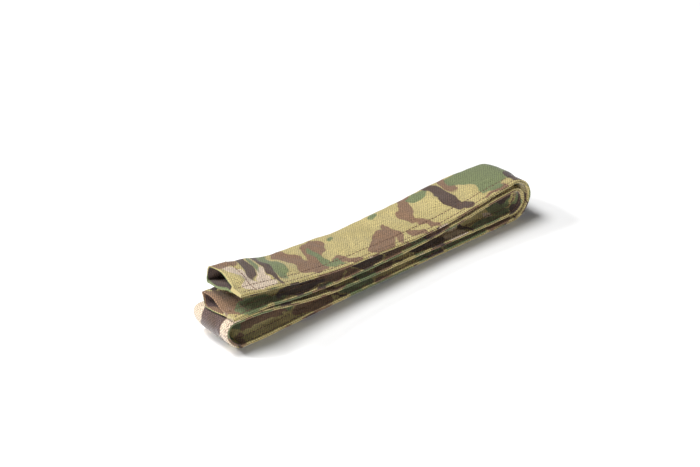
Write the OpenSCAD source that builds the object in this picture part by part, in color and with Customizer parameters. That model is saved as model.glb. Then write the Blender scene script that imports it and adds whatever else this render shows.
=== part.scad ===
// Folded fabric sleeve of a tourniquet band: a sewn flat tube of cloth, open at
// both ends, folded into four runs that lie on each other.
// Millimetres. +X along the runs, +Y from the sewn edge to the folded edge, +Z up.

/* [Sleeve] */
// flat width of the sleeve, from the sewn edge to the folded edge
sleeve_w = 41; // [30:1:60]
// thickness of one cloth layer with its slack
layer_t = 0.9; // [0.4:0.1:1.4]
// width of the sewn seam along the near edge
seam_w = 9.5; // [6:0.5:14]
// thickness of the sewn seam, two turned-in layers on each side
seam_t = 2.6; // [1.6:0.1:4]
// length of the turned-in hem at each mouth
hem_l = 14; // [8:1:20]
// height of the sleeve where it lies flat in the loops
flat_h = 4.6; // [3.5:0.1:6]
// height of each open mouth at the folded edge
mouth_h = 10.5; // [6:0.5:14]

/* [Loops] */
// outside radius of the outer loop on the right
outer_r = 17.7; // [14:0.1:24]
// outside radius of the inner loop on the right
inner_r = 12.3; // [9:0.1:18]
// radius of the left loop, at the middle of the sleeve
left_r = 10.1; // [7:0.1:16]
// number of parts that each loop on the right is cut into, plus its two ends
folds = 5; // [3:1:8]
// half of the slit between two parts of a loop
slit = 0.15; // [0.1:0.05:0.3]

/* [Stitching] */
// distance of the first row of thread from the sewn edge
row_1 = 2.2; // [1:0.1:5]
// distance of the second row of thread from the sewn edge
row_2 = 8.6; // [5:0.1:14]
// width of a row of thread
thread_w = 0.7; // [0.3:0.1:1.5]
// height of a row of thread over the cloth
thread_h = 0.25; // [0.1:0.05:0.5]
// clearance under a row of thread
thread_gap = 0.1; // [0:0.02:0.2]

/* [Hidden] */
half_w = sleeve_w / 2;
half_seam = seam_t / 2;
step = 180 / folds;
// the loops' centres, [x, z], measured from the fold on the left
outer_c = [258.2, outer_r];
inner_c = [257.4, 18];
left_c = [-3.8, left_r + flat_h / 2];
// moves the middle of the folded sleeve to x = 0
x_mid = 129.8;
// the ends of the top run and of the second run
top_end_x = -3;
second_end_x = -10;

// height of each run's middle over the floor, [x, z]
top_z = [[-3, 44.6], [18, 40.6], [40, 35.8], [58, 32.7], [77, 30.3], [96, 28.5],
  [115, 27.2], [134, 26.8], [153, 27], [173, 27.6], [192, 28.8], [217, 30.4],
  [240, 32.2], [258.2, outer_c[1] + outer_r - flat_h / 2]];
second_z = [[-10, 28.8], [5, 28.7], [20, 27.6], [40, 25], [58, 22.9], [77, 21.2],
  [96, 20.2], [115, 19.7], [134, 19.5], [153, 19.7], [173, 20.4], [192, 21.6],
  [217, 23.8], [240, 26.4], [257.4, inner_c[1] + inner_r - flat_h / 2]];
third_z = [[-3.8, left_c[1] + left_r], [10, 22.3], [20, 21.3], [40, 17.9], [58, 15],
  [77, 13], [96, 11.8], [115, 11.2], [134, 11], [153, 10.8], [173, 10.3],
  [192, 9.7], [217, 8.8], [240, 8.2], [257.4, inner_c[1] - inner_r + flat_h / 2]];

// height of the sleeve itself along each run, [x, h]
top_h = [[-3, mouth_h], [18, 8.4], [40, 6.8], [77, 6.8], [173, 6.8], [192, 6.6],
  [217, 5.6], [240, 5], [258.2, flat_h]];
second_h = [[-10, mouth_h], [5, 7.6], [20, 5.4], [40, 5.2], [58, 6], [77, 6.4],
  [153, 6.4], [173, 6.2], [192, 6], [217, 5.4], [240, 4.8], [257.4, flat_h]];
third_h = [[-3.8, flat_h], [20, flat_h], [40, 5.2], [58, 6], [77, 6.4], [153, 6.4],
  [173, 6.2], [192, 6], [217, 5.4], [240, 4.8], [257.4, flat_h]];
bottom_h = [[-3.8, flat_h], [25, 5], [58, 6.4], [77, 6.8], [153, 6.8], [173, 6.6],
  [192, 6], [217, 5.4], [240, 4.8], [258.2, flat_h]];

// rise of a run across its width towards its face side, [x, rise per mm]
left_tilt = -0.093;
level = [[0, 0], [1, 0]];
second_tilt = [[-10, -0.06], [20, -0.04], [60, 0]];
third_tilt = [[-3.8, left_tilt], [20, -0.08], [40, -0.06], [77, 0]];

// how far the sleeve stands open, 1 at a mouth and 0 where it lies closed, [x, share]
top_open = [[-3, 1], [18, 0.6], [40, 0.15], [58, 0]];
second_open = [[-10, 1], [5, 0.5], [20, 0.1], [40, 0]];

khaki = [0.72, 0.66, 0.44];
olive = [0.45, 0.49, 0.31];
brown = [0.42, 0.3, 0.22];

function mix(a, b, t) = a + (b - a) * t;

// ---- the way along the sleeve ----
// A station is [x, z, direction, height, tilt, open]. The face side is on the left
// of the direction of travel as seen from the sewn edge.
function arc(c, r, from, to, n, turn, tilts) = [for (i = [0:n])
  let(p = mix(from, to, i / n))
  [c[0] + r * cos(p), c[1] + r * sin(p), p - 90 * turn, flat_h, mix(tilts[0], tilts[1], i / n), 0]];
function slope(zs, x, way) = let(a = lookup(x - 4, zs), b = lookup(x + 4, zs))
  atan2(way * (b - a), way * 8);
function run(zs, hs, tilts, opens, from, to, n) = [for (i = [0:n])
  let(x = mix(from, to, i / n), way = to > from ? 1 : -1)
  [x, lookup(x, zs), slope(zs, x, way), lookup(x, hs), lookup(x, tilts), lookup(x, opens)]];
closed = [[0, 0], [1, 0]];
outer_mid = outer_r - flat_h / 2;
inner_mid = inner_r - flat_h / 2;
outer_slit = asin(slit / outer_r);
inner_slit = asin(slit / inner_r);
bottom_z = [for (p = bottom_h) [p[0], p[1] / 2]];

top_way = concat(run(top_z, top_h, level, top_open, top_end_x, top_end_x + hem_l, 1),
  run(top_z, top_h, level, top_open, top_end_x + 2 * hem_l, 250, 15),
  arc(outer_c, outer_mid, 90, 90 - step / 2 + outer_slit, 2, 1, [0, 0]));
bottom_way = concat(arc(outer_c, outer_mid, -90 + step / 2 - outer_slit, -90, 2, 1, [0, 0]),
  run(bottom_z, bottom_h, level, closed, 246, left_c[0], 14));
left_way = [for (i = [0:12]) let(p = -90 - 15 * i)
  [left_c[0] + left_r * cos(p), left_c[1] + left_r * sin(p), p - 90, flat_h,
   left_tilt * (1 + sin(p)) / 2, 0]];
third_way = concat([[left_c[0], left_c[1] + left_r, 0, flat_h, left_tilt, 0]],
  run(third_z, third_h, third_tilt, closed, 6, 250, 17),
  arc(inner_c, inner_mid, -90, -90 + step / 2 - inner_slit, 2, -1, [0, 0]));
second_way = concat(arc(inner_c, inner_mid, 90 - step / 2 + inner_slit, 90, 2, -1, [0, 0]),
  run(second_z, second_h, second_tilt, second_open, 250, second_end_x + 2 * hem_l, 16),
  run(second_z, second_h, second_tilt, second_open, second_end_x + hem_l, second_end_x, 1));
function outer_way(k) = arc(outer_c, outer_mid, 90 - step * (folds - 0.5 - k) - outer_slit,
  90 - step * (folds + 0.5 - k) + outer_slit, 3, 1, [0, 0]);
function inner_way(k) = arc(inner_c, inner_mid, -90 + step * (k - 0.5) + inner_slit,
  -90 + step * (k + 0.5) - inner_slit, 3, -1, [0, 0]);

// ---- the sleeve's section, as [y, n] points from the sewn edge to the fold ----
function outline(h, open) =
  let(r = h / 2, s = half_seam, g = r - s, w = half_w,
    shut = [[-w, 0.6], [-w + 0.5, s], [-w + seam_w, s], [-w + seam_w + 4.5, s + 0.75 * g],
      [-1, r], [10, r], [w - 5, 0.9 * r], [w - 1.6, 0.6 * r], [w, 0]],
    wide = [[-w, 0.6], [-w + 0.5, s], [-w + seam_w, s], [-w + seam_w + 4.5, s + 0.4 * g],
      [0, s + 0.6 * g], [7, s + 0.8 * g], [13, r], [w - 4.5, 0.75 * r], [w - 3.3, 0]])
  [for (i = [0:8]) mix(shut[i], wide[i], open)];
function inline(o, t) = [[-half_w, 0], [-half_w + 0.5, 0], [o[2][0] + 0.3, 0],
  [o[3][0] + 0.2, max(0.15, o[3][1] - t)], [o[4][0], o[4][1] - t], [o[5][0], o[5][1] - t],
  [o[6][0] - 0.4 * t, o[6][1] - 0.95 * t], [o[7][0] - 0.85 * t, o[7][1] - 0.6 * t],
  [o[8][0] - t, 0]];
// a closed ring of points from an upper and a lower line of the same length;
// side 1 is the face of the sleeve and side -1 its back
function backward(v) = [for (i = [len(v) - 1:-1:0]) v[i]];
function ring(upper, lower, side) = let(v = concat(upper, backward(lower)))
  side > 0 ? v : backward([for (p = v) [p[0], -p[1]]]);
function part_of(v, a, b, up) = [for (i = [a:b]) v[i] + [0, up]];
function layer(o, side) = ring(o, inline(o, layer_t), side);
function lining(o, side) = ring(part_of(inline(o, layer_t), 4, 8, 0),
  part_of(inline(o, layer_t + 0.5), 4, 8, 0), side);
function cross_thread(o, side) = ring(part_of(o, 2, 7, thread_gap + thread_h),
  part_of(o, 2, 7, thread_gap), side);
function bar(y, side) = let(a = y - thread_w / 2, b = y + thread_w / 2, s = half_seam + thread_gap)
  ring([[a, s + thread_h], [b, s + thread_h]], [[a, s], [b, s]], side);

// ---- sweeps ----
function place(s, p) = let(n = p[1] + s[4] * p[0])
  [s[0] - n * sin(s[2]) - x_mid, p[0], s[1] + n * cos(s[2])];

function ring_at(way, sections, i) = [for (p = sections[i]) place(way[i], p)];

// a solid through rings of points; two solids that share a line of points along the
// way cut it into the same triangles, so they meet and don't overlap
module skin(rings) {
  m = len(rings[0]);
  last = len(rings) - 1;
  polyhedron(
    points = [for (r = rings) each r],
    faces = concat(
      [for (j = [0:m / 2 - 2]) [m - 1 - j, m - 2 - j, j + 1, j]],
      [for (j = [0:m / 2 - 2]) for (k = last * m) [k + j, k + j + 1, k + m - 2 - j, k + m - 1 - j]],
      [for (i = [0:last - 1]) for (j = [0:m - 1]) let(a = i * m, b = (i + 1) * m, k = (j + 1) % m)
        each (j < m / 2 ? [[a + j, a + k, b + j], [a + k, b + k, b + j]]
          : [[a + j, a + k, b + k], [a + j, b + k, b + j]])]),
    convexity = 10);
}

module sweep(way, sections) {
  skin([for (i = [0:len(way) - 1]) ring_at(way, sections, i)]);
}

module cloth(way, side) {
  color(side > 0 ? khaki : olive)
    sweep(way, [for (s = way) layer(outline(s[3], s[5]), side)]);
}

module seam_thread(way) {
  color(brown)
    for (side = [1, -1], row = [row_1, row_2])
      sweep(way, [for (s = way) bar(row - half_w, side)]);
}

// the turned-in layer inside a mouth, from station a to station b
module hem(way, a, b) {
  part = [for (i = [a:b]) way[i]];
  color(olive)
    for (side = [1, -1])
      sweep(part, [for (s = part) lining(outline(s[3], s[5]), side)]);
}

// the row of thread across the sleeve that holds a hem, close to the hem's inner
// end, which is station a; station b is the mouth
module hem_thread(way, a, b) {
  near = 0.8 / hem_l;
  far = (0.8 + thread_w) / hem_l;
  color(brown)
    for (side = [1, -1])
      let(ends = [for (s = [way[a], way[b]])
          [for (p = cross_thread(outline(s[3], s[5]), side)) place(s, p)]],
        rings = [for (t = [near, far])
          [for (j = [0:len(ends[0]) - 1]) mix(ends[0][j], ends[1][j], t)]])
        skin(a < b ? rings : [rings[1], rings[0]]);
}

last_second = len(second_way) - 1;

module top_run_face() { cloth(top_way, 1); }
module top_run_back() { cloth(top_way, -1); }
module top_run_thread() { seam_thread(top_way); }
module top_mouth_hem() { hem(top_way, 0, 1); }
module top_mouth_thread() { hem_thread(top_way, 1, 0); }
module second_run_face() { cloth(second_way, 1); }
module second_run_back() { cloth(second_way, -1); }
module second_run_thread() { seam_thread(second_way); }
module second_mouth_hem() { hem(second_way, last_second - 1, last_second); }
module second_mouth_thread() { hem_thread(second_way, last_second - 1, last_second); }
module third_run_face() { cloth(third_way, 1); }
module third_run_back() { cloth(third_way, -1); }
module third_run_thread() { seam_thread(third_way); }
module bottom_run_face() { cloth(bottom_way, 1); }
module bottom_run_back() { cloth(bottom_way, -1); }
module bottom_run_thread() { seam_thread(bottom_way); }
module left_loop_face() { cloth(left_way, 1); }
module left_loop_back() { cloth(left_way, -1); }
module left_loop_thread() { seam_thread(left_way); }

top_run_face();
top_run_back();
top_run_thread();
top_mouth_hem();
top_mouth_thread();
second_run_face();
second_run_back();
second_run_thread();
second_mouth_hem();
second_mouth_thread();
third_run_face();
third_run_back();
third_run_thread();
bottom_run_face();
bottom_run_back();
bottom_run_thread();
left_loop_face();
left_loop_back();
left_loop_thread();
cloth(outer_way(1), 1);  // outer_loop_1_face
cloth(outer_way(1), -1);  // outer_loop_1_back
seam_thread(outer_way(1));  // outer_loop_1_thread
cloth(outer_way(2), 1);  // outer_loop_2_face
cloth(outer_way(2), -1);  // outer_loop_2_back
seam_thread(outer_way(2));  // outer_loop_2_thread
cloth(outer_way(3), 1);  // outer_loop_3_face
cloth(outer_way(3), -1);  // outer_loop_3_back
seam_thread(outer_way(3));  // outer_loop_3_thread
cloth(outer_way(4), 1);  // outer_loop_4_face
cloth(outer_way(4), -1);  // outer_loop_4_back
seam_thread(outer_way(4));  // outer_loop_4_thread
cloth(inner_way(1), 1);  // inner_loop_1_face
cloth(inner_way(1), -1);  // inner_loop_1_back
seam_thread(inner_way(1));  // inner_loop_1_thread
cloth(inner_way(2), 1);  // inner_loop_2_face
cloth(inner_way(2), -1);  // inner_loop_2_back
seam_thread(inner_way(2));  // inner_loop_2_thread
cloth(inner_way(3), 1);  // inner_loop_3_face
cloth(inner_way(3), -1);  // inner_loop_3_back
seam_thread(inner_way(3));  // inner_loop_3_thread
cloth(inner_way(4), 1);  // inner_loop_4_face
cloth(inner_way(4), -1);  // inner_loop_4_back
seam_thread(inner_way(4));  // inner_loop_4_thread
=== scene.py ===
"""Visual model of a tourniquet band's fabric sleeve: a sewn flat tube of camouflage
cloth, open at both ends, folded into four runs with a double loop on the right."""

import math

import bpy
import numpy as np
from mathutils import Matrix, Vector


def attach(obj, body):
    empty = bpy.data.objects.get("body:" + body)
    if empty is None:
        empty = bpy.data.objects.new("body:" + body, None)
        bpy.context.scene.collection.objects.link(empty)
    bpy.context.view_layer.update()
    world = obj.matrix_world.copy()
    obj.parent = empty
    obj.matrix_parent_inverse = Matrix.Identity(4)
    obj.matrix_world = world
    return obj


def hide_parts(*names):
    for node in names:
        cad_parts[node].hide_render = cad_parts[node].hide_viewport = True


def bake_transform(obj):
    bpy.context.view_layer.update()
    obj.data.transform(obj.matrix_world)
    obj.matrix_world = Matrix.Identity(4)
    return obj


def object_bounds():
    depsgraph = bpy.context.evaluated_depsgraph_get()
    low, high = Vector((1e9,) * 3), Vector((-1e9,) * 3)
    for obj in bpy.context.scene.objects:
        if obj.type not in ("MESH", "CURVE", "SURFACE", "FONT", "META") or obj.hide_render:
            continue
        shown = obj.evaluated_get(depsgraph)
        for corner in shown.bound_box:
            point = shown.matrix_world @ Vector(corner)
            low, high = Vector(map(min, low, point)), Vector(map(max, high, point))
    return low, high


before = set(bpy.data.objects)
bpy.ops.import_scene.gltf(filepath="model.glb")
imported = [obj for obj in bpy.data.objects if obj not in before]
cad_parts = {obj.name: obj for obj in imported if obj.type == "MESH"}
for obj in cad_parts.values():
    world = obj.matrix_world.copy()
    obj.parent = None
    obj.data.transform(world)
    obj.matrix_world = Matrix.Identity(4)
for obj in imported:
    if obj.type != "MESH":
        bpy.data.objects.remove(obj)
cad_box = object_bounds()

# ---------------------------------------------------------------- sizes, in mm
# In the tables x runs along the sleeve, from near the left fold, and z is the height.
MM = 0.001
X_MID = 129.8            # the tables' x where the frame's x is 0
HALF_W = 20.5            # half of the sleeve's flat width
HALF_SEAM = 1.3          # half of the sewn seam's thickness
SEAM_W = 9.5             # width of the sewn seam
SEAM_END = SEAM_W - HALF_W       # y where the sewn seam ends and the tube starts
ROW_1, ROW_2 = 2.2, 8.6  # the rows of thread, from the sewn edge
WALL = 0.45              # thickness of the cloth
HEM_L = 14.0             # length of the turned-in hem at a mouth
HEM_STEP = 0.6           # length over which the hem's inner edge fades out
FLAT_H = 4.6             # height of the sleeve in the loops
STATION = 1.3            # spacing of the mesh along the sleeve
WAY_STEP = 0.4           # spacing of the points of the sleeve's middle line
STITCH = 3.2             # length of one stitch with its gap
THREAD = 0.33            # half thickness of the thread
YARN = 1.0               # width of one yarn of the plain weave
TOP_LIP, SECOND_LIP = 4.5, 2.6   # how far the lips of the two mouths curve
MOUTH_SKEW = 6.5         # how much shorter the second mouth's lower lip reaches

# loop centres [x, z] and the radii of the sleeve's middle
OUTER_C, OUTER_R = (258.2, 17.7), 15.4
INNER_C, INNER_R = (257.4, 18.0), 10.0

# height of each run's middle over the floor, [x, z]
TOP_Z = [(-3, 45.0), (18, 41.4), (30, 39.3), (47, 35.6), (65, 33.0), (84, 31.0), (102, 29.9),
         (121, 29.0), (141, 28.6), (160, 28.8), (180, 29.4), (200, 30.4), (220, 31.5),
         (240, 32.6), (258.2, 33.1)]
SECOND_Z = [(-10, 28.8), (5, 28.4), (20, 27.2), (40, 24.4), (58, 22.4), (77, 20.9), (96, 20.0),
            (115, 19.6), (134, 19.5), (153, 19.7), (173, 20.4), (192, 21.6), (217, 23.8),
            (240, 26.6), (257.4, 28.0)]
THIRD_Z = [(-3.8, 22.5), (10, 22.3), (20, 21.3), (40, 17.9), (58, 15.0), (77, 13.0), (96, 11.8),
           (115, 11.2), (134, 11.0), (153, 10.8), (173, 10.3), (192, 9.7), (217, 8.8),
           (240, 8.2), (257.4, 8.0)]
BOTTOM_H = [(-3.8, 4.6), (25, 5.0), (58, 6.4), (77, 6.8), (153, 6.8), (173, 6.6), (192, 6.0),
            (217, 5.4), (240, 4.8), (258.2, 4.6)]

# height of the sleeve itself along each run, [x, h]
TOP_H = [(-3, 13.2), (8, 11.2), (18, 9.0), (40, 6.8), (77, 6.8), (173, 6.8), (192, 6.6),
         (217, 5.8), (240, 5.2), (258.2, 4.6)]
SECOND_H = [(-10, 9.6), (5, 7.0), (20, 5.4), (40, 5.2), (58, 5.5), (77, 5.8), (153, 6.4),
            (173, 6.2), (192, 6.0), (217, 5.4), (240, 4.8), (257.4, 4.6)]
THIRD_H = [(-3.8, 4.6), (20, 4.6), (40, 5.2), (58, 5.5), (77, 5.8), (153, 6.4), (173, 6.2),
           (192, 6.0), (217, 5.4), (240, 4.8), (257.4, 4.6)]

# rise across the width towards +Y, [x, rise per mm]
TOP_TILT = [(-3, 0.02), (30, 0.05), (65, 0.03), (84, 0.05), (121, 0.02), (141, 0.04),
            (160, 0.07), (180, 0.09), (200, 0.09), (225, 0.05), (240, -0.01), (258.2, -0.07)]
SECOND_TILT = [(-10, 0.06), (20, 0.04), (60, 0.0), (257.4, 0.0)]
THIRD_TILT = [(-3.8, -0.093), (20, -0.08), (40, -0.06), (77, 0.0), (257.4, 0.0)]

# how far the sleeve stands open, 1 at a mouth and 0 where it lies closed, [x, share]
TOP_OPEN = [(-3, 1.0), (8, 0.8), (18, 0.55), (40, 0.12), (58, 0.0), (258.2, 0.0)]
SECOND_OPEN = [(-10, 1.0), (-2, 0.75), (5, 0.5), (20, 0.1), (40, 0.0), (257.4, 0.0)]

# how far the sewn seam droops (up is negative), in degrees, [x, angle]
TOP_DROOP = [(-3, 0), (60, 0), (100, 3), (125, 5), (150, 9), (178, 10), (200, 6), (240, 2),
             (258.2, 0)]
SECOND_DROOP = [(-10, 2), (20, 0), (60, 5), (110, 8), (170, 6), (240, 0), (257.4, 0)]
THIRD_DROOP = [(-3.8, 0), (30, 2), (60, 0), (100, -3), (150, -3), (200, -1), (257.4, 0)]
BOTTOM_DROOP = [(-3.8, 0), (80, 1), (150, 1), (258.2, 0)]

LIFT = 0.6               # rise of the bottom run's middle where the left fold starts
LIFT_X = (12, -2)        # x where that rise starts, and where it is complete
# the fold on the left: middle of the sleeve from the bottom run round to the third, [x, z]
LEFT_WAY = [(-3.8, 2.9), (-8.2, 5.9), (-12.0, 10.2), (-13.9, 14.4), (-14.1, 18.0), (-12.8, 20.9),
            (-10.2, 22.5), (-7, 22.8), (-3.8, 22.5)]


def curve(table, x):
    """Smooth line through a table's points."""
    xs, ys = np.array(table, float).T
    x = np.clip(x, xs[0], xs[-1])
    slope = np.gradient(ys, xs)
    i = np.clip(np.searchsorted(xs, x) - 1, 0, len(xs) - 2)
    gap = xs[i + 1] - xs[i]
    t = (x - xs[i]) / gap
    return ((1 + 2 * t) * (1 - t) ** 2 * ys[i] + t * (1 - t) ** 2 * gap * slope[i]
            + t * t * (3 - 2 * t) * ys[i + 1] - t * t * (1 - t) * gap * slope[i + 1])


def ease(t):
    """Smooth step from 0 to 1."""
    t = np.clip(t, 0, 1)
    return t * t * (3 - 2 * t)


def noise(u, v, cell_u, cell_v, seed):
    """Smooth seeded noise from -1 to 1."""
    grid = np.random.default_rng(seed).uniform(-1, 1, 4096)
    a, b = np.asarray(u, float) / cell_u, np.asarray(v, float) / cell_v
    i, j = np.floor(a).astype(int), np.floor(b).astype(int)
    s, t = a - i, b - j
    s, t = (w * w * w * (w * (w * 6 - 15) + 10) for w in (s, t))

    def at(p, q):
        return grid[(p * 619 + q * 907 + seed * 131) % 4096]
    return ((at(i, j) * (1 - s) + at(i + 1, j) * s) * (1 - t)
            + (at(i, j + 1) * (1 - s) + at(i + 1, j + 1) * s) * t)


# ---------------------------------------------------------------- the way along the sleeve
# Each value is known all along the way: the middle's place x and z, the sleeve's height h,
# its tilt across the width, how far it stands open, the seam's droop, and at a mouth the
# skew of its lower lip and the curve of its lips.
KEYS = ("x", "z", "h", "tilt", "open", "droop", "skew", "lip")


def stretch(x, z, **given):
    """The values of one stretch of the way. What isn't given is that of a flat loop."""
    values = {key: 0 * x for key in KEYS}
    return values | {"x": x, "z": z, "h": 0 * x + FLAT_H} | given


def spread(start, end, length):
    """Evenly spaced numbers from start to end, for a stretch of this length."""
    return np.linspace(start, end, 2 + int(length / WAY_STEP))


def distances(x, z):
    """How far each point lies from the first, along the line through them all."""
    return np.concatenate([[0], np.cumsum(np.hypot(np.diff(x), np.diff(z)))])


def run(z, heights, tilt, droop, start, end, opens=None, skew=0.0, lip=0.0):
    """A long run. z is its table of heights, or None where it lies on the floor."""
    x = spread(start, end, abs(end - start))
    forward = 1 if end > start else -1
    rise = (LIFT_X[0] - x) / (LIFT_X[0] - LIFT_X[1])
    middle = curve(z, x) if z else curve(heights, x) / 2 + LIFT * ease(rise)
    opened = np.maximum(curve(opens, x), 0) if opens else 0 * x
    return stretch(x, middle, h=curve(heights, x), tilt=forward * curve(tilt, x),
                   open=opened, droop=forward * np.radians(curve(droop, x)),
                   skew=skew * opened, lip=lip * ease(opened ** 1.5))


def arc(centre, radius, start, end, tilts=(0.0, 0.0)):
    """A round loop from one angle to another, in degrees."""
    angle = np.radians(spread(start, end, math.radians(abs(end - start)) * radius))
    share = np.linspace(0, 1, len(angle))
    return stretch(centre[0] + radius * np.cos(angle), centre[1] + radius * np.sin(angle),
                   tilt=tilts[0] + (tilts[1] - tilts[0]) * ease(share))


def through(points, tilts):
    """A loop through points in the x, z plane."""
    px, pz = np.array(points, float).T
    far = distances(px, pz)
    at = spread(0, far[-1], far[-1])
    return stretch(curve(list(zip(far, px)), at), curve(list(zip(far, pz)), at),
                   tilt=tilts[0] + (tilts[1] - tilts[0]) * ease(at / far[-1]))


LEVEL = [(LEFT_WAY[0][0], 0), (OUTER_C[0], 0)]       # no tilt
PARTS = {
    "top": run(TOP_Z, TOP_H, TOP_TILT, TOP_DROOP, TOP_Z[0][0], OUTER_C[0], TOP_OPEN,
               lip=TOP_LIP),
    "outer": arc(OUTER_C, OUTER_R, 90, -90, (TOP_TILT[-1][1], 0)),
    "bottom": run(None, BOTTOM_H, LEVEL, BOTTOM_DROOP, OUTER_C[0], LEFT_WAY[0][0]),
    "left": through(LEFT_WAY, (0, THIRD_TILT[0][1])),
    "third": run(THIRD_Z, THIRD_H, THIRD_TILT, THIRD_DROOP, LEFT_WAY[-1][0], INNER_C[0]),
    "inner": arc(INNER_C, INNER_R, -90, 90),
    "second": run(SECOND_Z, SECOND_H, SECOND_TILT, SECOND_DROOP, INNER_C[0], SECOND_Z[0][0],
                  SECOND_OPEN, MOUTH_SKEW, -SECOND_LIP),
}


SOFT = 15                # points over which the way's heading is softened
way = {key: np.concatenate([part[key] for part in PARTS.values()]) for key in KEYS}
part_of = np.concatenate([np.full(len(part["x"]), i) for i, part in enumerate(PARTS.values())])
apart = np.hypot(np.diff(way["x"]), np.diff(way["z"])) > 1e-6
kept = np.concatenate([[True], apart])
way = {key: values[kept] for key, values in way.items()}
part_of = part_of[kept]
way["s"] = distances(way["x"], way["z"])
LENGTH = way["s"][-1]

heading = np.unwrap(np.arctan2(np.gradient(way["z"], way["s"]), np.gradient(way["x"], way["s"])))
weights = np.hanning(SOFT)
padded = np.pad(heading, SOFT // 2, mode="edge")
way["a"] = np.convolve(padded, weights / weights.sum(), mode="valid")

# where each part starts and ends, as distances along the way
ends, reached = {}, 0.0
for index, name in enumerate(PARTS):
    ends[name] = (reached, way["s"][part_of == index][-1])
    reached = ends[name][1]


def station(s):
    """The way's values at distances s along it."""
    return {key: np.interp(s, way["s"], way[key]) for key in KEYS + ("a",)}


def columns(s):
    """The same, as columns to set beside the points round a section."""
    return {key: values[:, None] for key, values in station(s).items()}


# ---------------------------------------------------------------- the sleeve's section
# A section is a line of points (y, z) round the sleeve, from the sewn edge at -y to the
# far fold at +y, where z is counted from the sleeve's middle along its normal.
ROWS_Y = (ROW_1 - HALF_W, ROW_2 - HALF_W)
EDGE = [(-18.3, 0.14), (-19.9, 0.26), (-20.38, 0.42), (-20.5, 0.78), (-20.2, 1.2)]
FLAT_Y = np.array([-19.5, -19.0, -18.6, -18.3, -18.0, -17.6, -17.0, -16.2, -15.3, -14.4, -13.5,
                   -12.8, -12.3, -11.9, -11.5, -11.0, -10.4, -9.6, -8.6, -7.4, -6.0, -4.4, -2.6,
                   -0.8, 1.0, 2.8, 4.6])
FAR_FROM = 4.6           # y where the rounding of the far fold starts in a closed sleeve
FAR_LATER = 7.0          # how much further out it starts where the sleeve stands open
FAR_SHORT = 3.2          # how much narrower the sleeve is where it stands open
TUBE_W = 9.5             # width over which a closed tube rises to its full height
WEDGE_W = 27             # width over which an open mouth rises like a wedge
LOOSE_Y = SEAM_END - 0.5 # y from which the cloth is loose
LIP_W = 38               # width over which a mouth's lips curve
PRESS = 0.4              # height over which cloth that meets the floor flattens
TUBE_FROM = -10.4        # y from which the section spreads with that start
DROOP_Y = -9.4           # line about which the sewn seam droops
DROOP_OVER = 4.5         # width over which the droop grows to its full angle
FAR_STEPS = 12
FAR_ANGLE = np.linspace(0, math.pi / 2, FAR_STEPS + 1)[1:]
BODY = len(EDGE) + 17    # first point of a section that has an inside


def body_height(g, y):
    """Half height of the smooth sleeve at y, without its far fold."""
    wedge = np.clip((y - LOOSE_Y - g["skew"]) / (WEDGE_W - g["skew"]), 0, 1)
    rise = ease((y - SEAM_END) / TUBE_W) * (1 - g["open"]) + g["open"] * wedge
    return HALF_SEAM + (g["h"] / 2 - HALF_SEAM) * rise


def wrinkles(s, v, g, y):
    """Rise of the cloth from its smooth shape, at s along it and v around it. Each noise
    has its size along the sleeve and its size round it."""
    body = ease((y - LOOSE_Y) / 5)
    folds = 0.85 * noise(s, v, 26, 19, 11) + 0.45 * noise(s + 0.6 * v, v, 9, 14, 12)
    folds = folds + 0.2 * noise(s - 0.5 * v, v, 5, 8, 13) + 0.07 * noise(s, v, 1.9, 2.1, 14)
    loose = 0.55 + 0.75 * ease((g["h"] - FLAT_H) / 2.2)
    # small gathers beside the inner row of thread, and a ripple along the sewn edge
    pucker = 0.32 * noise(s - 0.35 * y, v, 3.6, 9, 15) * np.exp(-((y - DROOP_Y) / 3.2) ** 2)
    ripple = 0.16 * noise(s, v, 5.2, 4, 16) + 0.07 * noise(s, v, 1.7, 2, 17)
    return body * loose * folds + pucker + (1 - body) * ripple


def row_dent(s, y):
    """Dents that the stitches pull in the sewn seam."""
    pull = 0.20 + 0.10 * np.cos(2 * math.pi * s / STITCH)
    return -pull * sum(np.exp(-((y - row) / 0.62) ** 2) for row in ROWS_Y)


def surface(g, s, y, side):
    """Height over the sleeve's middle, for y up to where the far fold starts."""
    v = y + HALF_W if side > 0 else 4 * HALF_W - (y + HALF_W)
    return body_height(g, y) + wrinkles(s, v, g, y) + row_dent(s, y)


def hem_share(s):
    """1 where the cloth is turned in at a mouth, 0 past the hem."""
    return ease((HEM_L + HEM_STEP - np.minimum(s, LENGTH - s)) / HEM_STEP)


def droop_seam(g, y, z):
    """Turns the sewn seam down about the line where it meets the tube."""
    back = np.maximum(DROOP_Y - y, 0)
    turn = g["droop"] * ease(back / DROOP_OVER)
    turned_y = DROOP_Y - back * np.cos(turn) + z * np.sin(turn)
    turned_z = z * np.cos(turn) - back * np.sin(turn)
    return np.where(back > 0, turned_y, y), np.where(back > 0, turned_z, z)


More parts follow.
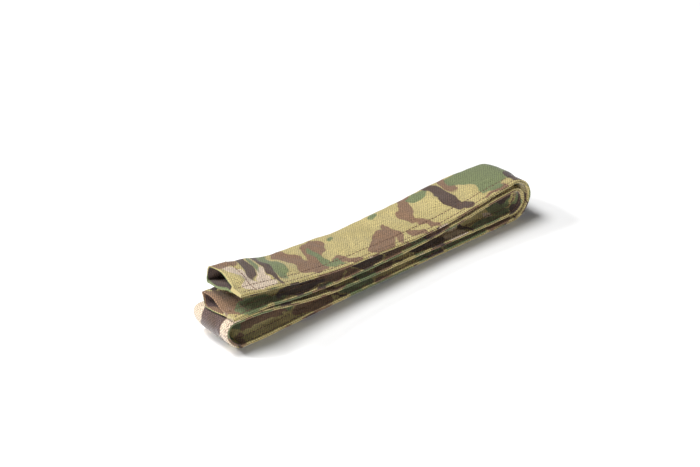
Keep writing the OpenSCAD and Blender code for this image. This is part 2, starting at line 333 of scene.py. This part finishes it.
def contour(s, side):
    """One side's line from the sewn edge to the far fold: (y, z, v) arrays, one row for
    each station. The side is 1 for the face and -1 for the back."""
    g = columns(s)
    s = s[:, None]
    still = 0 * s
    # the sewn edge, a little uneven
    edge_y, edge_z = (np.array(values)[None, :] for values in zip(*EDGE))
    edge_y = edge_y + 0.18 * noise(s, still, 6.5, 9, 23)
    edge_z = edge_z * (1 + 0.08 * noise(s, still + 5 * side, 4.3, 9, 24))
    # the seam and the tube
    start = FAR_FROM + FAR_LATER * g["open"]
    flat_y = FLAT_Y[None, :] + still
    spread_y = TUBE_FROM + (flat_y - TUBE_FROM) * (start - TUBE_FROM) / (FAR_FROM - TUBE_FROM)
    flat_y = np.where(flat_y > TUBE_FROM, spread_y, flat_y)
    flat_z = surface(g, s, flat_y, side)
    # the far fold: a rounded end from the start line to the fold's outermost point
    far = HALF_W - FAR_SHORT * g["open"]
    power = 2 / (2.0 + 2.2 * g["open"])
    turn = FAR_ANGLE[None, :]
    far_y = start + (far - start) * np.sin(turn) ** power
    far_z = surface(g, s, np.minimum(far_y, far), side) * np.cos(turn) ** power
    sway = 0.55 * noise(s, still, 17, 9, 21) + 0.25 * noise(s, still, 6, 9, 22)
    far_y = far_y + sway * np.sin(turn) ** 2

    y = np.concatenate([edge_y, flat_y, far_y], 1)
    z = side * np.concatenate([edge_z, flat_z, far_z], 1)
    v = y + HALF_W if side > 0 else 3 * HALF_W - y
    y, z = droop_seam(g, y, z)
    return y - g["skew"] * ease(y / 17) * (0.5 + z / g["h"]), z, v


def lip_curve(y, share):
    """How far a mouth's lips curve: the upper one back, the lower one out. The share of the
    sleeve's height goes from about -0.5 to 0.5."""
    bow = np.sin(math.pi * np.clip((y + HALF_W) / LIP_W, 0, 1))
    return bow * np.clip(2.4 * share, -1, 1)


def place(g, y, z):
    """The frame's points, in metres, of section points (y, z) at the stations g."""
    lift = z + g["tilt"] * y
    push = g["lip"] * lip_curve(y, z / g["h"])
    return np.stack([(g["x"] - X_MID - lift * np.sin(g["a"]) + push) * MM, y * MM,
                     (g["z"] + lift * np.cos(g["a"])) * MM], -1)


def press_on_floor(points, least):
    """Lays cloth that would reach lower than the height least, in mm, flat on the floor."""
    over = points[..., 2] - least * MM
    points[..., 2] = least * MM + 0.5 * (over + np.sqrt(over ** 2 + (PRESS * MM) ** 2))
    return points


# ---------------------------------------------------------------- camouflage fields
# Blots where the cloth shows: (run, colour, x, y, half length, half width, angle). Khaki
# blots keep the ground colour clear. The dark blots on the linings, deep inside the two
# mouths, are painted shade. Elsewhere the blots come by chance.
BLOTS = [
    ("top", "cream", 8, 3, 10, 3.6, -58), ("top", "cream", 12, -11, 5, 5, 0),
    ("top", "cream", 25, -8, 10, 3.6, 62), ("top", "cream", 21, -16, 8, 3.4, 5),
    ("top", "khaki", 1, -10, 6, 6, 0), ("top", "brown", 5, 15, 9, 4, 0),
    ("top", "dark", 20, 7, 12, 4.2, 80), ("top", "dark", 35, 1, 18, 2.7, 86),
    ("top", "green", 28, 9, 11, 1.8, 75), ("top", "green", 42, 4, 17, 4.4, 90),
    ("top", "khaki", 49, 2, 16, 2.6, 100), ("top", "khaki", 48, -14, 10, 4, 0),
    ("top", "brown", 60, 8, 14, 6, 105), ("top", "brown", 83, 7, 13, 7.5, 50),
    ("top", "brown", 69, -10, 10, 5.5, -15), ("top", "khaki", 71, 8, 9, 2.2, 80),
    ("top", "green", 82, -5, 12, 3.8, 102), ("top", "green", 88, -14, 6, 3.4, 0),
    ("top", "green", 105, 13, 4, 2, 30), ("top", "brown", 98, -14.5, 8.5, 3.6, -25),
    ("top", "khaki", 112, -2, 17, 13, 0), ("top", "khaki", 140, 11, 26, 7, 0),
    ("top", "brown", 132, -14, 11, 6, 20), ("top", "brown", 139, -6, 6, 5, 60),
    ("top", "brown", 148, -7, 11, 3.3, 92), ("top", "brown", 164, -17, 6.5, 3.2, -20),
    ("top", "green", 147, 13, 5, 2.4, 20), ("top", "brown", 176, 11, 12, 3.4, 58),
    ("top", "brown", 168, 1, 6, 3.6, 80), ("top", "brown", 175, -9, 11, 2.2, -48),
    ("top", "khaki", 190, -4, 9, 12, 0), ("top", "green", 190, 14, 8, 4.5, 0),
    ("top", "dark", 206, 7, 14, 5.6, 98), ("top", "dark", 206, -7, 9, 4.2, -58),
    ("top", "dark", 212, -15, 7, 3.2, -30), ("top", "brown", 217.5, 10, 9, 3.4, 90),
    ("top", "khaki", 226, 0, 5.5, 13, 0), ("top", "khaki", 231, -9, 5, 8, 20),
    ("top", "green", 246, 10, 22, 11, 0), ("top", "green", 243, -8, 9, 8, 0),
    ("top", "brown", 243, -18, 10, 3, -6), ("top", "khaki", 258, -17, 6, 4, 0),
    ("top", "green", 252, 3, 12, 12, 0), ("under", "green", -2, 6, 12, 16, 0),
    # linings: green and brown cloth at the mouths' rims; the dark blots deeper in are painted
    # shade inside the mouths
    ("lining", "green", -4, 4, 6, 20, 0), ("lining", "dark", 12, 4, 12, 20, 0),
    ("lower_lining", "brown", -9, 4, 7, 20, 0), ("lower_lining", "dark", 6, 4, 11, 20, 0),
    ("outer", "green", 259, 6, 9, 16, 0), ("outer", "dark", 272, -12, 7, 12, 90),
    ("outer", "brown", 272, 8, 7, 10, 90), ("outer", "khaki", 262, -17, 5, 4, 0),
    ("second", "green", 12, -14, 13, 6, 10), ("second", "brown", -4, -2, 9, 14, 20),
    ("second", "dark", 55, -14, 18, 4.5, 0), ("second", "brown", 84, -12, 11, 6, 0),
    ("second", "green", 30, -16, 8, 3, 0), ("second", "dark", 118, -15, 10, 5, 0),
    ("left", "cream", -12, 14, 9, 9, 0), ("left", "dark", -13, -2, 9, 8, 60),
    ("left", "cream", -11, -16, 12, 5, 90), ("third", "dark", 175, -14, 12, 5, 0),
    ("third", "khaki", 187, -14, 4, 7, 0), ("third", "cream", 200, -12, 9, 8, 10),
    ("third", "dark", 214, -8, 1.8, 12, 0), ("third", "khaki", 226, -4, 10, 7, 0),
    ("third", "green", 229, -17, 14, 3, 0), ("third", "cream", 240, -12, 3, 3, 0),
    ("third", "green", 252, -6, 8, 10, 0), ("inner", "green", 260, -4, 6, 8, 0),
    ("inner", "dark", 266, 0, 7, 12, 90), ("inner", "brown", 262, 14, 7, 6, 0),
    ("bottom", "khaki", 24, -15, 18, 6, 0), ("bottom", "brown", 66, -15, 14, 6, 0),
    ("bottom", "green", 106, -15, 10, 5, 0), ("bottom", "khaki", 140, -14, 16, 6, 0),
    ("bottom", "green", 212, -16, 16, 6, 0), ("bottom", "brown", 246, -16, 12, 6, 0),
]
# the chance blots: (seed, size along the cloth, size round it, level above which they show)
COLOURS = {"cream": (34, 21, 12, 0.86), "green": (31, 30, 15, 0.34), "brown": (32, 24, 13, 0.30),
           "dark": (33, 17, 10, 0.60)}
CALM = "top"             # the run where no chance blots show


def camouflage(run_name, x, y, s, v):
    """One field for each colour, above 0 where the colour shows."""
    warp = 3.0 * noise(s, v, 9, 8, 41) + 1.1 * noise(s, v, 3.1, 3.1, 42)
    bend = 3.0 * noise(s, v, 9, 8, 43) + 1.1 * noise(s, v, 3.3, 3.1, 44)
    painted = {colour: np.full(np.shape(x), -9.0) for colour in (*COLOURS, "khaki")}
    for name, colour, at_x, at_y, long, wide, angle in BLOTS:
        cos, sin = math.cos(math.radians(angle)), math.sin(math.radians(angle))
        dx, dy = x - at_x + warp, y - at_y + 0.8 * bend
        along, across = dx * cos + dy * sin, dy * cos - dx * sin
        inside = (1.3 if colour != "khaki" else 1.1) - np.hypot(along / long, across / wide)
        inside = np.where(run_name == name, inside * min(long, wide) / 4, -9)
        painted[colour] = np.maximum(painted[colour], inside)
    taken = np.max(list(painted.values()), axis=0)
    fields = {}
    for colour, (seed, cell_s, cell_v, level) in COLOURS.items():
        by_chance = noise(s + 1.6 * warp, v + 1.6 * bend, cell_s, cell_v, seed)
        by_chance = by_chance + 0.45 * noise(s + warp, v + bend, cell_s / 2.3, cell_v / 2.3,
                                             seed + 20)
        by_chance = 1.2 * (by_chance - level) - 3.0 * (run_name == CALM)
        by_chance = by_chance - 2.5 * ease(1.5 * taken + 0.6)
        own = painted[colour]
        if colour == "brown":
            own = own - 3 * np.clip(painted["khaki"], 0, 1)
        fields[colour] = np.clip(np.maximum(by_chance, own), -2, 2)
    return fields


# ---------------------------------------------------------------- materials
def srgb(red, green, blue):
    """Linear colour of an sRGB one, from 0 to 255."""
    def one(c):
        c /= 255
        return c / 12.92 if c <= 0.04045 else ((c + 0.055) / 1.055) ** 2.4
    return one(red), one(green), one(blue)


KHAKI = srgb(190, 175, 123)
KHAKI_DEEP = srgb(164, 149, 94)
SHADES = {"cream": srgb(200, 181, 160), "brown": srgb(123, 93, 73), "green": srgb(106, 118, 80),
          "dark": srgb(70, 50, 49)}
THREAD_DARK, THREAD_LIGHT = srgb(76, 50, 38), srgb(122, 90, 68)
PRINT_SOFTNESS = 7.0     # how sharply a blot's edge is printed
PRINT_STRENGTH = 0.94    # how much of the ground colour a blot hides
WEAVE_CONTRAST, FLECK_CONTRAST, BRIGHTNESS = 0.46, 2.0, 0.95


def set_input(tree, socket, value):
    """Gives a socket a number or a colour, or links it to another socket."""
    if isinstance(value, (int, float)):
        socket.default_value = value
    elif isinstance(value, tuple):
        socket.default_value = (*value, 1)
    else:
        tree.links.new(value, socket)


def math_node(tree, kind, a, b=None, clamp=False):
    node = tree.nodes.new("ShaderNodeMath")
    node.operation, node.use_clamp = kind, clamp
    set_input(tree, node.inputs[0], a)
    if b is not None:
        set_input(tree, node.inputs[1], b)
    return node.outputs[0]


def mix_colour(tree, share, a, b, blend="MIX"):
    node = tree.nodes.new("ShaderNodeMix")
    node.data_type, node.blend_type = "RGBA", blend
    for socket, value in zip((node.inputs[0], node.inputs[6], node.inputs[7]), (share, a, b)):
        set_input(tree, socket, value)
    return node.outputs[2]


def noise_node(tree, uv, scale, detail, roughness=0.5):
    node = tree.nodes.new("ShaderNodeTexNoise")
    node.inputs["Scale"].default_value = scale
    node.inputs["Detail"].default_value = detail
    node.inputs["Roughness"].default_value = roughness
    tree.links.new(uv, node.inputs["Vector"])
    return node.outputs[0]


def add_bump(tree, shader, height, strength, distance):
    node = tree.nodes.new("ShaderNodeBump")
    node.inputs["Strength"].default_value = strength
    node.inputs["Distance"].default_value = distance
    tree.links.new(height, node.inputs["Height"])
    tree.links.new(node.outputs[0], shader.inputs["Normal"])


def new_material(name):
    """A material, with its node tree, its shader and the cloth's flat coordinates."""
    mat = bpy.data.materials.new(name)
    mat.use_nodes = True
    tree = mat.node_tree
    uv = tree.nodes.new("ShaderNodeUVMap")
    uv.uv_map = "cloth"
    return mat, tree, tree.nodes["Principled BSDF"], uv.outputs[0]


def cloth_material():
    mat, tree, shader, uv = new_material("camouflage_cloth")

    def calc(kind, a, b=None, clamp=False):
        return math_node(tree, kind, a, b, clamp)

    # plain weave: two crossing waves, one period for every two yarns
    split = tree.nodes.new("ShaderNodeSeparateXYZ")
    tree.links.new(uv, split.inputs[0])
    wobble = calc("SUBTRACT", noise_node(tree, uv, 420, 2), 0.5)
    pitch = math.pi / (YARN * MM)
    wave_u = calc("SINE", calc("ADD", calc("MULTIPLY", split.outputs[0], pitch), wobble))
    wave_v = calc("SINE", calc("SUBTRACT", calc("MULTIPLY", split.outputs[1], pitch), wobble))
    weave = calc("MULTIPLY", wave_u, wave_v)

    # the print: cloudy khaki, with ragged blots of the other colours
    flecks = noise_node(tree, uv, 900, 2, 0.7)
    fleck = calc("SUBTRACT", flecks, 0.5)
    ragged = calc("MULTIPLY", fleck, 0.34)
    colour = mix_colour(tree, noise_node(tree, uv, 55, 4), KHAKI_DEEP, KHAKI)
    for field, shade in SHADES.items():
        attribute = tree.nodes.new("ShaderNodeAttribute")
        attribute.attribute_name = field
        edge = calc("ADD", attribute.outputs["Fac"], ragged)
        share = calc("MULTIPLY", edge, PRINT_SOFTNESS, clamp=True)
        colour = mix_colour(tree, calc("MULTIPLY", share, PRINT_STRENGTH), colour, shade)

    # yarn by yarn light and shade, with worn flecks
    grain = calc("ADD", calc("MULTIPLY", weave, WEAVE_CONTRAST),
                 calc("MULTIPLY", fleck, FLECK_CONTRAST))
    light = calc("ADD", grain, BRIGHTNESS)
    gray = tree.nodes.new("ShaderNodeCombineColor")
    for socket in gray.inputs[:3]:
        tree.links.new(light, socket)
    colour = mix_colour(tree, 1.0, colour, gray.outputs[0], "MULTIPLY")
    tree.links.new(colour, shader.inputs["Base Color"])
    shader.inputs["Roughness"].default_value = 0.88
    shader.inputs["Specular IOR Level"].default_value = 0.25
    shader.inputs["Sheen Weight"].default_value = 0.35
    shader.inputs["Sheen Roughness"].default_value = 0.45
    relief = calc("ADD", calc("MULTIPLY", weave, 0.5), calc("MULTIPLY", flecks, 1.1))
    add_bump(tree, shader, relief, 0.55, 0.35 * MM)
    return mat


def thread_material():
    mat, tree, shader, uv = new_material("thread")
    twist = tree.nodes.new("ShaderNodeTexWave")
    twist.bands_direction = "DIAGONAL"
    twist.inputs["Scale"].default_value = 420
    twist.inputs["Distortion"].default_value = 1.5
    tree.links.new(uv, twist.inputs["Vector"])
    colour = mix_colour(tree, twist.outputs[1], THREAD_DARK, THREAD_LIGHT)
    tree.links.new(colour, shader.inputs["Base Color"])
    shader.inputs["Roughness"].default_value = 0.6
    shader.inputs["Sheen Weight"].default_value = 0.2
    add_bump(tree, shader, twist.outputs[1], 0.5, 0.1 * MM)
    return mat


def floor_material():
    mat = bpy.data.materials.new("pale_floor")
    mat.use_nodes = True
    shader = mat.node_tree.nodes["Principled BSDF"]
    shader.inputs["Base Color"].default_value = (0.93, 0.93, 0.93, 1)
    shader.inputs["Roughness"].default_value = 0.9
    return mat


CLOTH = cloth_material()
THREADS = thread_material()


# ---------------------------------------------------------------- cloth pieces
def new_mesh(name, points, faces, uv, material, fields=None, caps_from=None):
    """An object of these points and faces. The faces from number caps_from on are the flat
    ends of the cloth, with sharp edges."""
    mesh = bpy.data.meshes.new(name)
    mesh.from_pydata([tuple(point) for point in points], [], faces)
    mesh.materials.append(material)
    smooth = np.ones(len(faces), bool)
    if caps_from is not None:
        smooth[caps_from:] = False
        capped = {key for face in mesh.polygons[caps_from:] for key in face.edge_keys}
        sharp = mesh.attributes.new("sharp_edge", "BOOLEAN", "EDGE")
        sharp.data.foreach_set("value", np.array([key in capped for key in mesh.edge_keys]))
    mesh.polygons.foreach_set("use_smooth", smooth)
    layer = mesh.uv_layers.new(name="cloth")
    corner = np.empty(len(mesh.loops), int)
    mesh.loops.foreach_get("vertex_index", corner)
    layer.data.foreach_set("uv", np.asarray(uv, np.float32)[corner].ravel())
    for field, values in (fields or {}).items():
        attribute = mesh.attributes.new(field, "FLOAT", "POINT")
        attribute.data.foreach_set("value", np.asarray(values, np.float32).ravel())
    mesh.validate(verbose=False)
    mesh.update()
    obj = bpy.data.objects.new(name, mesh)
    bpy.context.scene.collection.objects.link(obj)
    return obj


SHORT = 60               # a piece shorter than this is all one run or loop
FLAT_INSIDE_Y = -10.6    # the inside reaches no nearer to the sewn edge
INSIDE_GAP = 0.06        # least half height of the inside
FLOOR_CLEAR = 0.1        # least height of the outside over the floor


def part_names(s):
    """The name of the run or loop at each station."""
    at = s if s[-1] - s[0] >= SHORT else np.full(len(s), 0.5 * (s[0] + s[-1]))
    index = np.interp(at, way["s"], part_of)
    index = np.round(index) if s[-1] - s[0] >= SHORT else np.floor(index)
    return np.array(list(PARTS))[index.astype(int)]


def side_name(part, v, inner):
    """Names the side of the cloth: the one that shows has the part's own name."""
    face = v < 2 * HALF_W
    shows = np.where(np.isin(part, ("second", "bottom")), ~face, face)
    lining = "lining" if np.all(part == "top") else "lower_lining"
    return np.where(inner, lining, np.where(shows, part, "under"))


def outside(s):
    """The outside (y, z, v): along the face to the far fold, and back along the back."""
    return [np.concatenate([face, back[:, -2::-1]], 1)
            for face, back in zip(contour(s, 1), contour(s, -1))]


def inside(s, y, z, v):
    """The inside, one wall's thickness in from the outside, or two at a turned-in hem."""
    wall = WALL * (1 + hem_share(s))[:, None]
    along_y, along_z = np.gradient(y, axis=1), np.gradient(z, axis=1)
    size = np.maximum(np.hypot(along_y, along_z), 1e-6)
    count = y.shape[1]
    used = np.arange(BODY, count - BODY)
    side = np.where(used < count / 2, 1, -1)[None, :]
    in_y = (y + wall * along_z / size)[:, used]
    in_z = (z - wall * along_y / size)[:, used]
    in_z = np.where(side * in_z < INSIDE_GAP, side * INSIDE_GAP, in_z)
    return np.clip(in_y, FLAT_INSIDE_Y, y.max(1)[:, None] - wall), in_z, v[:, used]


def ring_faces(first, rings, around, inward):
    """Faces between neighbouring rings of points. The points' numbers start at first."""
    faces = []
    for a in range(first, first + (rings - 1) * around, around):
        b = a + around
        for j in range(around):
            k = (j + 1) % around
            faces.append((a + j, a + k, b + k, b + j) if inward else (a + j, b + j, b + k, a + k))
    return faces


def end_faces(outer, inner, around, around_in):
    """The cloth's cut end, between a ring of the outside and one of the inside that start
    at the points outer and inner."""
    last = outer + around - 1
    faces = [(outer + BODY + j, outer + BODY + j + 1, inner + j + 1, inner + j)
             for j in range(around_in - 1)]
    # the sewn seam's end, between its two sides
    faces += [(outer + j, outer + j + 1, last - 1 - j, last - j) for j in range(BODY)]
    return faces + [(outer + BODY, inner, inner + around_in - 1, last - BODY)]


def sleeve(name, start, end):
    """The sleeve's cloth from one distance along the way to another."""
    s = np.linspace(start, end, max(3, math.ceil((end - start) / STATION) + 1))
    g = columns(s)
    part = part_names(s)[:, None]
    points, uv, sides, xs, ys = [], [], [], [], []
    outer = outside(s)
    for (y, z, v), inner in ((outer, False), (inside(s, *outer), True)):
        placed = press_on_floor(place(g, y, z), FLOOR_CLEAR + WALL * inner)
        points.append(placed.reshape(-1, 3))
        uv.append((np.stack([s[:, None] + 0 * v, v], -1) * MM).reshape(-1, 2))
        sides.append(side_name(part, v, inner).ravel())
        xs.append((g["x"] + 0 * y).ravel())
        ys.append(y.ravel())
    around, around_in = (len(ring) // len(s) for ring in xs)
    inner_first = len(xs[0])
    points, uv, sides, xs, ys = (np.concatenate(both) for both in (points, uv, sides, xs, ys))
    faces = ring_faces(0, len(s), around, False)
    faces += ring_faces(inner_first, len(s), around_in, True)
    caps_from = len(faces)
    faces += end_faces(0, inner_first, around, around_in)
    far_end = end_faces(inner_first - around, len(xs) - around_in, around, around_in)
    faces += [face[::-1] for face in far_end]
    fields = camouflage(sides, xs, ys, uv[:, 0] / MM, uv[:, 1] / MM)
    return new_mesh(name, points, faces, uv, CLOTH, fields, caps_from)


# ---------------------------------------------------------------- stitches
SIDES = 6                # sides of the thread
RISE, SINK = 0.2, 0.22   # how far a stitch stands out at its middle and sinks in at its ends
SEAM_GAP, HEM_GAP = 0.3, 0.32    # length left free at each end of a stitch
MOUTH_FREE = 0.5         # length without stitches at a mouth


def stitch(start, end, aside, turn):
    """One stitch's middle, direction, outward direction and length, in metres. The vector
    aside points across it in the cloth, and turn is -1 where the cloth faces the other way."""
    length = np.linalg.norm(end - start)
    along = (end - start) / length
    out = np.cross(along, aside) * turn
    return (start + end) / 2, along, out / np.linalg.norm(out), length


def stitch_rings(middle, along, out, length):
    """The thread's rings: it rises from the cloth and goes back in."""
    across = np.cross(along, out)
    rings = []
    for t in (-1, -0.72, -0.3, 0.3, 0.72, 1):
        radius = THREAD * MM * (0.45 if abs(t) == 1 else 1.0)
        high = (RISE * (1 - t * t) - SINK * t ** 4) * MM
        centre = middle + along * (t * length / 2) + out * high
        angles = [2 * math.pi * k / SIDES for k in range(SIDES)]
        rings.append([centre + radius * (math.cos(a) * across + math.sin(a) * out)
                      for a in angles])
    return rings


def thread_object(name, stitches):
    """One mesh of many stitches."""
    points, faces, uv = [], [], []
    for found in stitches:
        first = len(points)
        for i, ring in enumerate(stitch_rings(*found)):
            points += ring
            uv += [(first * 1e-5 + i * 0.0005, k * 0.0003) for k in range(SIDES)]
        last = len(points) - SIDES
        for a in range(first, last, SIDES):
            faces += [(a + k, a + (k + 1) % SIDES, a + SIDES + (k + 1) % SIDES, a + SIDES + k)
                      for k in range(SIDES)]
        faces += [tuple(first + k for k in reversed(range(SIDES))),
                  tuple(last + k for k in range(SIDES))]
    return new_mesh(name, points, faces, uv, THREADS)


def on_seam(s, row, side):
    """Points on the sewn seam at distances s along the way."""
    g = station(s)
    y = 0 * s + row
    return place(g, *droop_seam(g, y, side * surface(g, s, y, side)))


def seam_stitches(start, end):
    """Both rows on both sides of the seam, from one distance along the way to another."""
    start, end = max(start, MOUTH_FREE), min(end, LENGTH - MOUTH_FREE)
    first = STITCH * np.arange(math.floor(start / STITCH), math.ceil(end / STITCH))
    first = first[(first + 0.25 >= start) & (first + STITCH - 0.25 <= end)]
    found = []
    for side in (1, -1):
        for row in ROWS_Y:
            starts, middles, stops = (on_seam(first + far, row, side)
                                      for far in (SEAM_GAP, STITCH / 2, STITCH - SEAM_GAP))
            asides = on_seam(first + STITCH / 2, row + 0.3, side) - middles
            found += [stitch(*points, side) for points in zip(starts, stops, asides)]
    return found


def hem_stitches(s_hem):
    """A row round the sleeve at a mouth, where the hem is sewn down."""
    s = np.array([s_hem, s_hem + 0.3])
    found = []
    for side in (1, -1):
        y, z, _ = contour(s, side)
        row, beside = place(columns(s), y, z)[:, len(EDGE) - 1:-3]
        far = np.concatenate([[0], np.cumsum(np.linalg.norm(np.diff(row, axis=0), axis=1))])

        def at(line, distance):
            return np.array([np.interp(distance, far, line[:, axis]) for axis in range(3)])
        for number in range(int(far[-1] / (STITCH * MM))):
            start, middle, stop = (number * STITCH * MM + gap * MM
                                   for gap in (HEM_GAP, STITCH / 2, STITCH - HEM_GAP))
            p, q = at(row, start), at(row, stop)
            found.append(stitch(p, q, at(beside, middle) - (p + q) / 2, -side))
    return found


# ---------------------------------------------------------------- building the pieces
SPANS = {
    "top_run": (0, ends["top"][1]),
    "outer_loop": ends["outer"],
    "lower_runs": (ends["bottom"][0], ends["third"][1]),
    "inner_loop": ends["inner"],
    "second_run": (ends["second"][0], LENGTH),
}
HEMS = {"top_run": ("top_mouth", HEM_L), "second_run": ("second_mouth", LENGTH - HEM_L)}
cloths = {name: sleeve(f"{name}_cloth", *span) for name, span in SPANS.items()}
seams = {name: thread_object(f"{name}_stitches", seam_stitches(*span))
         for name, span in SPANS.items()}
hems = {name: thread_object(f"{mouth}_stitches", hem_stitches(s_hem))
        for name, (mouth, s_hem) in HEMS.items()}


def layers(*parts):
    return [f"{part}_{layer}" for part in parts for layer in ("face", "back")]


def loop_nodes(tag, *kinds):
    return [f"{tag}_loop_{number}_{kind}" for number in (1, 2, 3, 4) for kind in kinds]


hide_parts(*layers("top_run"), "top_mouth_hem")
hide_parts(*layers("bottom_run", "left_loop", "third_run"))
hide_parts(*layers("second_run"), "second_mouth_hem")
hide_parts("top_run_thread")
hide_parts("bottom_run_thread", "left_loop_thread", "third_run_thread")
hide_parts("second_run_thread")
for tag in ("outer", "inner"):
    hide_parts(*loop_nodes(tag, "face", "back"))
    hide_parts(*loop_nodes(tag, "thread"))
for name, (mouth, _) in HEMS.items():
    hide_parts(f"{mouth}_thread")

for name, body in (("top_run", "top_run"), ("lower_runs", "base"), ("second_run", "second_run")):
    for pieces in (cloths, seams, hems):
        if name in pieces:
            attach(pieces[name], body)


def bend_over(name):
    """Bakes the loop's cloth and stitches in place; the loop is attached to neither the base nor
    the run.
    """
    for piece in (cloths[name], seams[name]):
        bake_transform(piece)


bend_over("outer_loop")
bend_over("inner_loop")


# ---------------------------------------------------------------- floor, light, camera
# Places here are in metres.
FLOOR = 6.0              # half of the floor's size
floor_mesh = bpy.data.meshes.new("floor")
floor_mesh.from_pydata([(-FLOOR, -FLOOR, 0), (FLOOR, -FLOOR, 0), (FLOOR, FLOOR, 0),
                        (-FLOOR, FLOOR, 0)], [], [(0, 1, 2, 3)])
floor_mesh.materials.append(floor_material())
floor = bpy.data.objects.new("floor", floor_mesh)
bpy.context.scene.collection.objects.link(floor)
floor.location.z = cad_box[0][2]


def aimed(name, data, at, aim):
    """An object at one place that looks at another."""
    obj = bpy.data.objects.new(name, data)
    towards = (Vector(aim) - Vector(at)).to_track_quat("-Z", "Y")
    obj.matrix_world = Matrix.Translation(at) @ towards.to_matrix().to_4x4()
    bpy.context.scene.collection.objects.link(obj)
    return obj


def area_light(name, at, aim, size, power):
    data = bpy.data.lights.new(name, "AREA")
    data.shape, data.size, data.energy = "DISK", size, power
    aimed(name, data, at, aim)


camera_data = bpy.data.cameras.new("camera")
camera_data.lens = 128.57
camera_data.sensor_width = 36
camera_data.clip_end = 50
bpy.context.scene.camera = aimed("camera", camera_data, (-1.0184, -1.1567, 0.9743),
                                 (0.0251, 0.0480, 0.0))

area_light("key", (-0.80, 0.84, 2.40), (0.02, 0.0, 0.0), 1.24, 74)
area_light("back", (-1.60, 1.60, 1.70), (0.02, 0.0, 0.0), 0.5, 44)
area_light("fill", (-1.50, -2.60, 0.20), (0.02, 0.0, 0.02), 1.2, 100)

world = bpy.data.worlds.new("studio")
world.use_nodes = True
background = world.node_tree.nodes["Background"]
background.inputs["Color"].default_value = (1, 1, 1, 1)
background.inputs["Strength"].default_value = 0.05
bpy.context.scene.world = world
bpy.context.scene.view_settings.view_transform = "Standard"
